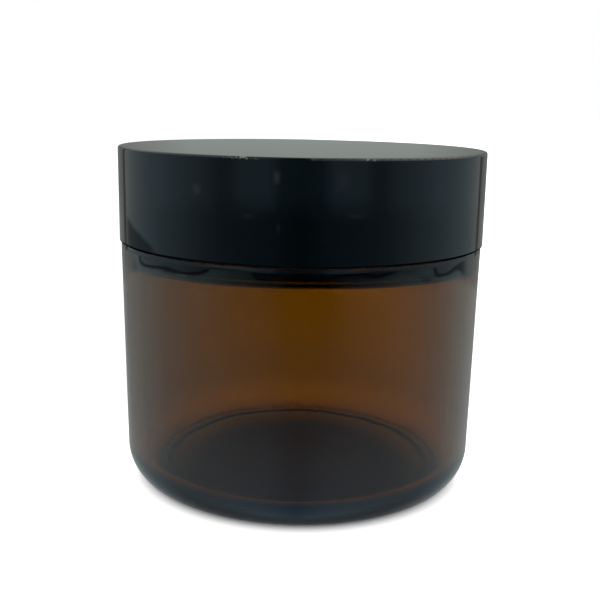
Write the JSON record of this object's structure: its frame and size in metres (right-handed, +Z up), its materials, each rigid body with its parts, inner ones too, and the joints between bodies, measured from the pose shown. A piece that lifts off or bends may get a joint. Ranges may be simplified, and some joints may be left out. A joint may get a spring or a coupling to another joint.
{
  "type": "cosmetic cream jar",
  "caption": "Straight-sided wide-mouth amber glass cream jar with a plastic sealing disc and a flush, double-walled glossy black screw lid.",
  "frame": {"origin": "on the jar's axis, in the plane of the ring of glass that it stands on", "axes": "+Z up along the jar's axis, the axis that the lid turns about; +X and +Y are level, and the jar looks the same from all sides"},
  "size_m": [0.056, 0.056, 0.0513],
  "materials": {
    "amber_glass": "clear amber, fire-polished",
    "black_shell": "high gloss black",
    "black_cap": "satin black, as moulded",
    "white_foam": "fine-celled foam sheet",
    "white_disc": "satin, slightly translucent polyethylene"
  },
  "bodies": {
    "jar": {"glass_jar": "amber_glass"},
    "disc": {"sealing_disc": "white_disc"},
    "liner": {"lid_liner": "white_foam"},
    "lid": {"lid_outer_shell": "black_shell", "lid_inner_cap": "black_cap"}
  },
  "joints": [
    {"name": "lid_rise", "type": "slide", "parent": "jar", "child": "liner", "axis": [0, 0, 1], "range_m": [0, 0.018]},
    {"name": "lid_turn", "type": "hinge", "parent": "liner", "child": "lid", "pos_m": [0, 0, 0.0373], "axis": [0, 0, 1], "range_deg": [0, 810]},
    {"name": "disc_lift", "type": "slide", "parent": "jar", "child": "disc", "axis": [0, 0, 1], "range_m": [0, 0.005]}
  ],
  "couplings": [
    {"joint": "lid_rise", "follows": "lid_turn", "m_per_rad": 0.0012732},
    {"joint": "disc_lift", "follows": "lid_turn", "m_per_rad": 0.00035368}
  ]
}
